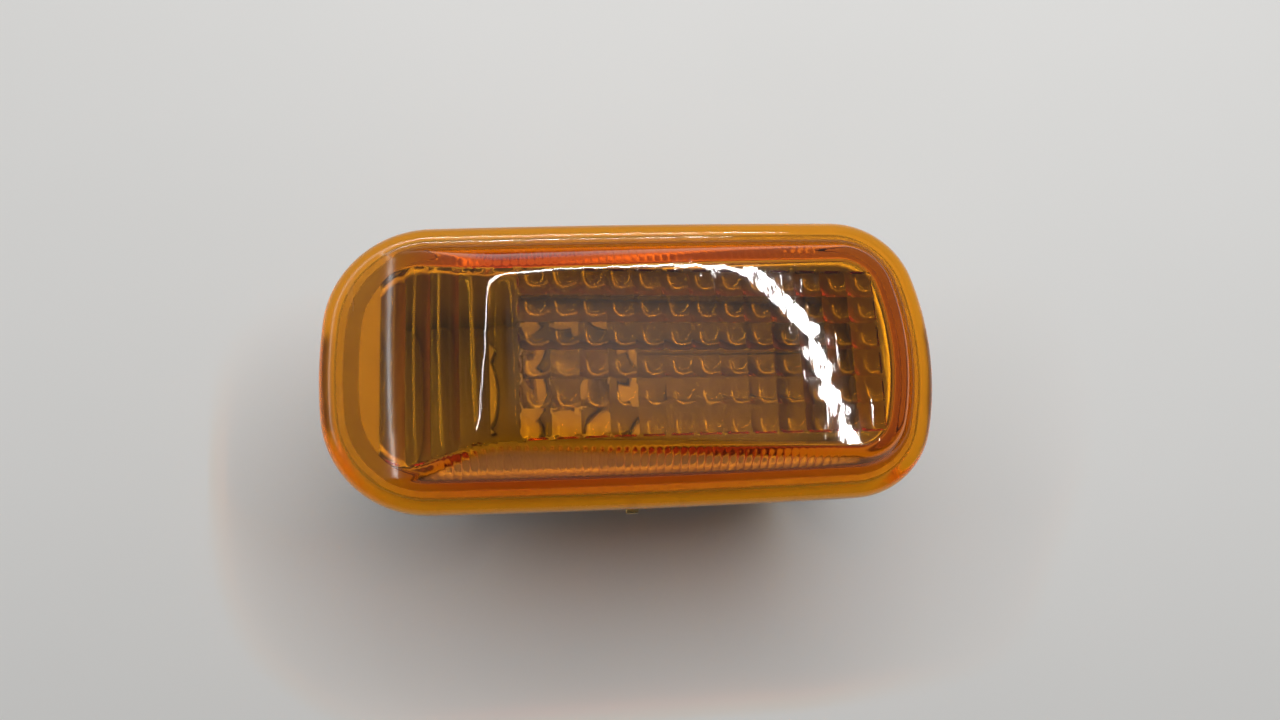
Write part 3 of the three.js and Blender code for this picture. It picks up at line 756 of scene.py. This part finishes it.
pin_low, pin_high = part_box("clip_pin")
pin_x = (pin_low.x + pin_high.x) / 2 / mm
pin_z = (pin_low.z + pin_high.z) / 2 / mm - rim_z / mm
ear_radius, ear_y, ear_thickness = 2.3, 6.9, 2
ear_root = half_length - tub_inset(pin_z) - 0.9
ear_line = [(ear_root, pin_z - ear_radius)]
for a in np.linspace(-1.2, 1.2, 9):
    ear_line.append((pin_x + ear_radius * math.cos(a), pin_z + ear_radius * math.sin(a)))
ear_line.append((ear_root, pin_z + ear_radius))
for side in (-1, 1):
    shells.append(softened(ear_line, ear_thickness,
                           lambda a, b, c, side=side: (a, side * (ear_y + c), b), 0.3))


def moulded(name, colour, worn_colour, roughness, grain, depth):
    """Moulded plastic or rubber: a fine grain, tone that drifts, rubbed edges, scratches and dust."""
    material, tree, shader, _ = new_material(name)
    worn = handled(tree, Scratch_Size=grain * 0.5)
    edge = node(tree, "NewGeometry").outputs["Pointiness"]
    rubbed = node(tree, "MapRange", {"Value": edge, "From Min": 0.52, "From Max": 0.62})
    spread = node(tree, "Math", {0: rubbed, 1: worn["Patches"]}, operation="MULTIPLY")
    share = scaled(tree, worn["Dust"], 0.25, spread, use_clamp=True)
    pebble = node(tree, "TexNoise", {"Scale": grain, "Detail": 3.0})
    height = node(tree, "Math", {0: pebble, 1: worn["Height"]}, operation="ADD")
    feed(tree, shader, {
        "Base Color": blend(tree, share, colour, worn_colour),
        "Roughness": scaled(tree, worn["Patches"], 0.14, roughness),
        "Normal": bumped(tree, height, 0.6, depth),
    })
    return material


black = moulded("black_plastic", (0.022, 0.021, 0.021, 1), (0.11, 0.105, 0.10, 1), 0.42, 2600.0, 0.00006)
coat = moulded("reflector_coat", (0.36, 0.345, 0.33, 1), (0.46, 0.44, 0.41, 1), 0.42, 1800.0, 0.00003)
tree = coat.node_tree
shader = tree.nodes["Principled BSDF"]
shader.inputs["Metallic"].default_value = 0.45
floor_shade_top = floor_top + 10  # painted shade: the coat darkens from here down to the floor
# Painted shade: the coat's colour blends to a dark grey at the tub floor, so the floor reads darker than the
# walls.
place = node(tree, "SeparateXYZ", {0: node(tree, "TexCoord").outputs["Object"]})
floor_shade_fade = node(tree, "MapRange", {"Value": place.outputs["Z"], "From Min": rim_z + floor_top * mm,
                                "From Max": rim_z + floor_shade_top * mm})
sprayed = shader.inputs["Base Color"].links[0].from_socket
feed(tree, shader, {"Base Color": blend(tree, floor_shade_fade, (0.10, 0.095, 0.09, 1), sprayed)})

housing = skin("black_housing", shells)
housing.data.materials.append(black)
housing.data.materials.append(coat)
spray_above = 0.5  # the flange's top and the lip are sprayed as well as the inside
for face in housing.data.polygons:
    x, y, z = face.center / mm
    z -= rim_z / mm
    wall = np.interp(z, [floor_top, lip_top], [inside_foot, lip_inside])
    inside = z > floor_top - 0.05 and inset_at(np.array([x]), np.array([y]))[0] > wall - 0.15
    if inside or z > spray_above:
        face.material_index = 1
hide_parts("housing")
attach(housing, "root")

# ---- Foam gasket ----
# A ring die-cut from a sheet of black closed-cell foam and stuck under the flange, where it keeps
# water out of the panel. It bulges a little at its sides.
foam, tree, shader, _ = new_material("closed_cell_foam")
bubbles = node(tree, "TexVoronoi", {"Scale": 2200.0}).outputs["Distance"]
worn = handled(tree)
feed(tree, shader, {
    "Base Color": blend(tree, bubbles, (0.016, 0.016, 0.018, 1), (0.05, 0.05, 0.053, 1)),
    "Roughness": scaled(tree, worn["Patches"], -0.15, 0.95),
    "Normal": bumped(tree, bubbles, 0.8, 0.00012),
})
shader.inputs["Sheen Weight"].default_value = 0.2

foam_outer, foam_inner, foam_bulge = 2.8, 4.8, 0.05
foam_top, foam_foot = -0.7, -3.2
foam_middle = (foam_top + foam_foot) / 2
gasket_line = rounded([
    (foam_outer + foam_bulge, foam_top), (foam_inner - foam_bulge, foam_top), (foam_inner, foam_middle),
    (foam_inner - foam_bulge, foam_foot), (foam_outer + foam_bulge, foam_foot), (foam_outer, foam_middle),
], 0.35)
gasket = skin("foam_gasket", [band(gasket_line)])
gasket.data.materials.append(foam)
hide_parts("body_gasket")
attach(gasket, "root")

# ---- Spring clip and pin ----
# A bent strip of spring steel that curls round a turned pin between the housing's ears. Its knee
# snaps behind the panel. Both have the grey of tempered and oiled steel.
def metal(name, colour, stained, roughness, brushing):
    """Bare metal: fine drawn lines, and stains where it has been handled."""
    material, tree, shader, _ = new_material(name)
    shader.inputs["Metallic"].default_value = 1
    worn = handled(tree, Patch_Size=220)
    place = node(tree, "TexCoord").outputs["Object"]
    drawn = node(tree, "Mapping", {"Vector": place, "Scale": (0.06, 1, 0.06)})
    lines = node(tree, "TexNoise", {"Vector": drawn, "Scale": brushing, "Detail": 2.0})
    feed(tree, shader, {
        "Base Color": blend(tree, worn["Patches"], colour, stained),
        "Roughness": scaled(tree, lines, 0.25, roughness - 0.12),
        "Normal": bumped(tree, lines, 0.25, 0.00003),
    })
    return material


def strip_line(line, thickness):
    """The closed outline of a bent strip from its centre line."""
    line = np.array(line, float)
    along = np.gradient(line, axis=0)
    along /= np.hypot(along[:, 0], along[:, 1])[:, None]
    across = np.c_[-along[:, 1], along[:, 0]] * thickness / 2
    return [tuple(p) for p in np.vstack([line + across, (line - across)[::-1]])]


def eased(points, steps):
    """A smooth line through a few points."""
    points = np.array(points, float)
    padded = np.vstack([2 * points[0] - points[1], points, 2 * points[-1] - points[-2]])
    line = []
    for i in range(1, len(points)):
        p0, p1, p2, p3 = padded[i - 1:i + 3]
        for t in np.linspace(0, 1, steps, endpoint=False):
            line.append(0.5 * (2 * p1 + (p2 - p0) * t + (2 * p0 - 5 * p1 + 4 * p2 - p3) * t**2
                               + (3 * p1 - p0 - 3 * p2 + p3) * t**3))
    return line + [points[-1]]


clip_thickness, clip_width = 0.6, 11
curl_radius = 1.6
curl = [(curl_radius * math.cos(a), curl_radius * math.sin(a)) for a in np.radians(np.arange(120, 361, 10))]
leg = eased([(curl_radius, 0), (3.62, 7.4), (3.9, 8.9), (3.55, 9.9), (2.0, 11.4)], 7)[2:]
clip_shell = softened(strip_line(curl + leg, clip_thickness), clip_width,
                      lambda a, b, c: (pin_x + a, c, pin_z + b), 0.12)
spring_steel = metal("spring_steel", (0.40, 0.405, 0.41, 1), (0.27, 0.255, 0.24, 1), 0.34, 9000.0)
clip = skin("spring_clip_strip", [clip_shell])
clip.data.materials.append(spring_steel)
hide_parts("spring_clip")
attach(clip, "clip")


pin_radius, pin_edge, pin_steps = 1, 0.2, 40
pin_half = (pin_high.y - pin_low.y) / 2 / mm
pin_profile = [
    (pin_radius - pin_edge, -pin_half), (pin_radius, -pin_half + pin_edge),
    (pin_radius, pin_half - pin_edge), (pin_radius - pin_edge, pin_half),
]
round_pin = np.arange(pin_steps) / pin_steps * 2 * math.pi
pin_rings = [
    np.c_[pin_x + radius * np.cos(round_pin), np.full(pin_steps, y), pin_z + radius * np.sin(round_pin)]
    for radius, y in pin_profile
]
pin = skin("clip_pin_turned", [joined(pin_rings)])
pin.data.materials.append(metal("pin_steel", (0.33, 0.335, 0.34, 1), (0.2, 0.17, 0.14, 1), 0.4, 5000.0))
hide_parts("clip_pin")
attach(pin, "root")

# ---- Holder seal ----
# A flat ring of moulded black rubber. It sits on the holder's flange and is squeezed against the
# tub's floor when the holder is twisted home.
around = np.linspace(0, 2 * math.pi, 96, endpoint=False)


def round_ring(radius, z):
    """A ring round the holder's axis."""
    return np.c_[holder_x + radius * np.cos(around), radius * np.sin(around), np.full(len(around), z)]


seal_inside, seal_outside = 8.1, 10.4
seal_foot, seal_top = -21.5, -20.3
seal_line = rounded(four_corners(seal_inside, seal_outside, seal_foot, seal_top), 0.35)
seal = skin("rubber_seal", [joined([round_ring(radius, z) for radius, z in seal_line], closed=True)])
rubber = moulded("seal_rubber", (0.014, 0.014, 0.015, 1), (0.06, 0.06, 0.06, 1), 0.62, 3200.0, 0.00003)
seal.data.materials.append(rubber)
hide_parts("holder_seal")
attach(seal, "seal")

# ---- Bulb holder ----
# A grey nylon twist-in holder: a round neck with three lugs and a slot for the bulb's wedge, a
# flange, and below it the shroud of the connector with its latch.
def oblong(half_x, half_y, corner, z):
    """A rectangular ring with rounded corners, matched to a round one."""
    power = 2 / (1 + min(half_x, half_y) / max(corner, 0.01))
    c, s = np.cos(around), np.sin(around)
    flat = np.maximum(np.abs(c) / half_x, np.abs(s) / half_y)
    soft = ((np.abs(c) / half_x) ** (2 / power) + (np.abs(s) / half_y) ** (2 / power)) ** (power / 2)
    radius = 1 / np.maximum(soft, flat)
    return np.c_[holder_x + radius * c, radius * s, np.full(len(around), z)]


slot_x, slot_y, slot_floor = 5.3, 3.4, -25.5
neck_radius, neck_top = 7.8, -15.9
disc_radius, disc_top, disc_foot = 10.4, -21.8, -23.6
shroud_x, shroud_y, shroud_end = 7.0, 6.3, -33.4
socket_x, socket_y, socket_floor = 5.5, 4.8, -27.0

holder_rings = []
for grow, z in ((-0.7, slot_floor), (0, slot_floor + 0.2), (0, neck_top - 0.4), (0.3, neck_top)):
    holder_rings.append(oblong(slot_x + grow, slot_y + grow, 0.5, z))
for grow, z in ((-0.4, neck_top), (-0.1, neck_top - 0.1), (0, neck_top - 0.4), (0, disc_top + 0.2),
                (0.2, disc_top)):
    holder_rings.append(round_ring(neck_radius + grow, z))
for grow, z in ((-0.4, disc_top), (-0.1, disc_top - 0.1), (0, disc_top - 0.4), (0, disc_foot + 0.4),
                (-0.1, disc_foot + 0.1), (-0.4, disc_foot)):
    holder_rings.append(round_ring(disc_radius + grow, z))
for grow, z in ((0.3, disc_foot), (0, disc_foot - 0.3), (0, shroud_end + 0.3), (-0.2, shroud_end)):
    holder_rings.append(oblong(shroud_x + grow, shroud_y + grow, 0.7, z))
for grow, z in ((0.2, shroud_end), (0, shroud_end + 0.3), (0, socket_floor - 0.2), (-0.3, socket_floor)):
    holder_rings.append(oblong(socket_x + grow, socket_y + grow, 0.5, z))

holder_shells = [joined(holder_rings)]
lug_count, lug_half = 3, math.radians(13)
lug_reach, lug_root = 10.2, 7
lug_thickness, lug_middle = 1.7, -16.75
for lug in range(lug_count):
    middle = lug * 2 * math.pi / lug_count
    span = np.linspace(middle - lug_half, middle + lug_half, 7)
    lug_line = [(lug_reach * math.cos(a), lug_reach * math.sin(a)) for a in span]
    lug_line += [(lug_root * math.cos(a), lug_root * math.sin(a)) for a in span[::-1]]
    holder_shells.append(softened(lug_line, lug_thickness,
                                  lambda a, b, c: (holder_x + a, b, lug_middle + c), 0.25))
latch_line = [(5.8, -31.9), (7.0, -31.9), (7.3, -31.6), (7.3, -30.6), (6.6, -29.9), (5.8, -29.9)]
latch_width = 4.4
holder_shells.append(softened(latch_line, latch_width, lambda a, b, c: (holder_x + c, a, b), 0.15))

holder = skin("nylon_holder", holder_shells)
nylon = moulded("grey_nylon", (0.30, 0.29, 0.27, 1), (0.45, 0.44, 0.41, 1), 0.45, 2400.0, 0.00004)
holder.data.materials.append(nylon)
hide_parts("bulb_holder")
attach(holder, "holder")

# ---- Contacts ----
# Two strips stamped from brass sheet and pushed into the holder from above. Each presses on a lead
# of the bulb at its top, bends in under the wedge, and ends as a blade in the connector.
contact_x = 2.4  # out from the holder's axis
contact_thickness, contact_width = 0.4, 2.2
contact_line = eased([
    (2.92, -17.8), (2.57, -19.2), (2.57, -23.7), (1.97, -24.3), (0.5, -24.5), (0, -25), (0, -32.2),
], 6)
brass = metal("contact_brass", (0.72, 0.53, 0.25, 1), (0.46, 0.31, 0.13, 1), 0.36, 7000.0)
for name, side in (("right", 1), ("left", -1)):
    blade = softened(strip_line(contact_line, contact_thickness), contact_width,
                     lambda a, b, c, side=side: (holder_x + side * (contact_x + c), side * a, b), 0.08)
    contact = skin("brass_contact_" + name, [blade])
    contact.data.materials.append(brass)
    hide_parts("contact_" + name)
    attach(contact, "holder")

# ---- Bulb ----
# A wedge-base bulb: a clear glass envelope pinched flat at the foot, a coiled tungsten filament,
# and two nickelled lead wires that come out under the wedge and fold up its faces.
wedge_foot, bulb_top = -22.4, 4.4
bulb_radius, bulb_hollow = 5, 4.4
crown_z = bulb_top - bulb_radius  # where the round end begins
wedge = (  # half width, half thickness, corner, and height above the foot
    (4.3, 0.8, 0.5, 0), (4.7, 1.15, 0.5, 0.3), (4.75, 1.2, 0.5, 1.5), (4.6, 1.0, 0.5, 2.2),
    (4.6, 1.0, 0.5, 3.0), (4.75, 1.2, 0.5, 3.8), (4.75, 1.2, 0.5, 5.6), (4.4, 1.7, 1.2, 6.4),
    (4.2, 2.6, 2.3, 7.2), (4.5, 3.7, 3.6, 8.4),
)
pinch = ((1.6, 0.5, 0.4, 8.4), (2.6, 1.6, 1.4, 8.7), (3.7, 3.0, 2.8, 9.4))  # the hollow's foot
glass_rings = [oblong(x, y, corner, wedge_foot + up) for x, y, corner, up in wedge]
glass_rings.append(round_ring(4.85, wedge_foot + 9.6))
glass_rings += [round_ring(bulb_radius, z) for z in np.linspace(wedge_foot + 10.2, crown_z, 6)]
hollow_rings = [oblong(x, y, corner, wedge_foot + up) for x, y, corner, up in pinch]
hollow_rings.append(round_ring(4.25, wedge_foot + 10.2))
hollow_rings += [round_ring(bulb_hollow, z) for z in np.linspace(wedge_foot + 10.8, crown_z, 6)]
for a in np.radians([12, 24, 36, 48, 60, 70, 79, 86]):
    glass_rings.append(round_ring(bulb_radius * math.cos(a), crown_z + bulb_radius * math.sin(a)))
    hollow_rings.append(round_ring(bulb_hollow * math.cos(a), crown_z + bulb_hollow * math.sin(a)))

glass, tree, shader, output = new_material("bulb_glass")
shader.inputs["Transmission Weight"].default_value = 1
shader.inputs["IOR"].default_value = 1.5
worn = handled(tree, Patch_Size=160)
ripple = node(tree, "TexNoise", {"Scale": 260.0, "Detail": 1.0})
feed(tree, shader, {
    "Base Color": blend(tree, worn["Patches"], (0.97, 0.98, 0.97, 1), (0.90, 0.90, 0.87, 1)),
    "Roughness": scaled(tree, worn["Scratches"], 0.12, 0.015),
    "Normal": bumped(tree, ripple, 0.1, 0.0002),
})
let_lamp_light_through(tree, shader, output, (0.95, 0.95, 0.95, 1))

bulb = skin("bulb_envelope", [joined(glass_rings), (*joined(hollow_rings), True)])
bulb.data.materials.append(glass)
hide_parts("bulb_glass")
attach(bulb, "bulb")


def tube(path, radius, sides=10):
    """A round wire along a list of points."""
    path = np.array(path, float)
    ahead = np.gradient(path, axis=0)
    ahead /= np.linalg.norm(ahead, axis=1)[:, None]
    side = np.cross(ahead[0], [0.3, 0.2, 1])
    rings = []
    angles = np.arange(sides) / sides * 2 * math.pi
    for point, way in zip(path, ahead):
        side = side - way * side.dot(way)
        side /= np.linalg.norm(side)
        other = np.cross(way, side)
        ring = point + radius * (np.cos(angles)[:, None] * side + np.sin(angles)[:, None] * other)
        rings.append(ring)
    return joined(rings)


filament_z = wedge_foot + 13
coil_turns, coil_radius, coil_half = 14, 0.48, 1.85
coil_wire = 0.075
turns = np.linspace(0, coil_turns * 2 * math.pi, coil_turns * 14)
coil_x = holder_x + np.linspace(-coil_half, coil_half, len(turns))
coil = np.c_[coil_x, coil_radius * np.cos(turns), filament_z + coil_radius * np.sin(turns)]
filament = skin("tungsten_coil", [tube(coil, coil_wire, 6)])
tungsten = metal("tungsten", (0.30, 0.30, 0.31, 1), (0.12, 0.12, 0.13, 1), 0.45, 12000.0)
filament.data.materials.append(tungsten)
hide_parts("bulb_filament")
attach(filament, "bulb")

lead_radius, lead_x = 0.25, 2.4
fold_half, fold_depth = 0.875, 0.65
nickel = metal("nickelled_wire", (0.62, 0.60, 0.56, 1), (0.40, 0.37, 0.32, 1), 0.3, 6000.0)
down = [(0, filament_z + 0.2), (0, filament_z - 4), (0, wedge_foot + 4), (0, wedge_foot + 1)]
hairpin = [(fold_half * (1 - math.cos(a)), wedge_foot - 0.1 - fold_depth * math.sin(a))
           for a in np.linspace(0, math.pi, 13)]
up = [(2 * fold_half, wedge_foot + 1), (2 * fold_half, wedge_foot + 2.5), (1.72, wedge_foot + 4.3)]
for name, side in (("right", 1), ("left", -1)):
    path = [(holder_x + side * lead_x, side * y, z) for y, z in down + hairpin + up]
    lead = skin("nickel_lead_" + name, [tube(path, lead_radius)])
    lead.data.materials.append(nickel)
    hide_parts("bulb_lead_" + name)
    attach(lead, "bulb")

# ---- Floor and lights ----
# A plain pale tabletop. Overhead, thin strip lights end to end in a bent line draw the bright line
# round the dome, a broad dim panel inside them lights the lens softly, and a faint glow all round
# grows towards the lamp's far side.
stone, tree, shader, _ = new_material("pale_floor")
speck = node(tree, "TexNoise", {"Scale": 40.0, "Detail": 6.0})
pale = blend(tree, speck, (0.80, 0.795, 0.775, 1), (0.86, 0.855, 0.84, 1))
feed(tree, shader, {"Base Color": pale})
shader.inputs["Roughness"].default_value = 0.6
bpy.ops.mesh.primitive_plane_add(size=4)
floor = bpy.context.object
floor.name = "floor"
floor.data.materials.append(stone)

world = bpy.data.worlds.new("studio")
bpy.context.scene.world = world
world.use_nodes = True
sky = world.node_tree
where = node(sky, "TexCoord")
split = node(sky, "SeparateXYZ", {0: where.outputs["Generated"]})
glow = node(sky, "MapRange", {"Value": split.outputs["Y"], "From Min": -0.5, "From Max": 0.9,
                              "To Min": 0.06, "To Max": 0.38})
feed(sky, sky.nodes["Background"], {"Color": (1, 1, 1, 1), "Strength": glow})


def soft_light(name, start, stop, width, brightness):
    """A strip or panel from start to stop, facing the floor; brightness is what a mirror shows."""
    start, stop = Vector(start), Vector(stop)
    light = bpy.data.lights.new(name, "AREA")
    light.shape = "RECTANGLE"
    light.size, light.size_y = (stop - start).length, width
    light.energy = brightness * light.size * light.size_y * math.pi
    lamp = bpy.data.objects.new(name, light)
    bpy.context.collection.objects.link(lamp)
    along = (stop - start).normalized()
    up = Vector((0, 0, 1))
    axes = Matrix((along, up.cross(along), up)).transposed()
    lamp.matrix_world = Matrix.Translation((start + stop) / 2) @ axes.to_4x4()
    return lamp


strip_z = 0.434
strip = [
    (-0.434, -0.030), (-0.352, 0.130), (-0.270, 0.268), (-0.083, 0.300), (0.070, 0.312),
    (0.135, 0.279), (0.196, 0.225), (0.226, 0.130), (0.231, -0.020),
]
left_strips = 3  # these are broader and dimmer than the rest
for i, (start, stop) in enumerate(zip(strip, strip[1:])):
    width, brightness = (0.020, 25) if i < left_strips else (0.008, 90)
    soft_light(f"strip_{i}", (*start, strip_z), (*stop, strip_z), width, brightness)
panel = soft_light("panel", (-0.02, 0.10, 0.45), (0.24, 0.10, 0.45), 0.34, 1.0).data
panel.use_nodes = True
fade = panel.node_tree
spot = node(fade, "SeparateXYZ", {0: node(fade, "TexCoord").outputs["UV"]})
humps = []
for way in ("X", "Y"):
    sweep = node(fade, "Math", {0: spot.outputs[way], 1: math.pi}, operation="MULTIPLY")
    humps.append(node(fade, "Math", {0: sweep}, operation="SINE"))
hump = node(fade, "Math", {0: humps[0], 1: humps[1]}, operation="MULTIPLY")
feed(fade, fade.nodes["Emission"], {"Strength": hump})
bpy.context.scene.view_settings.view_transform = "Standard"
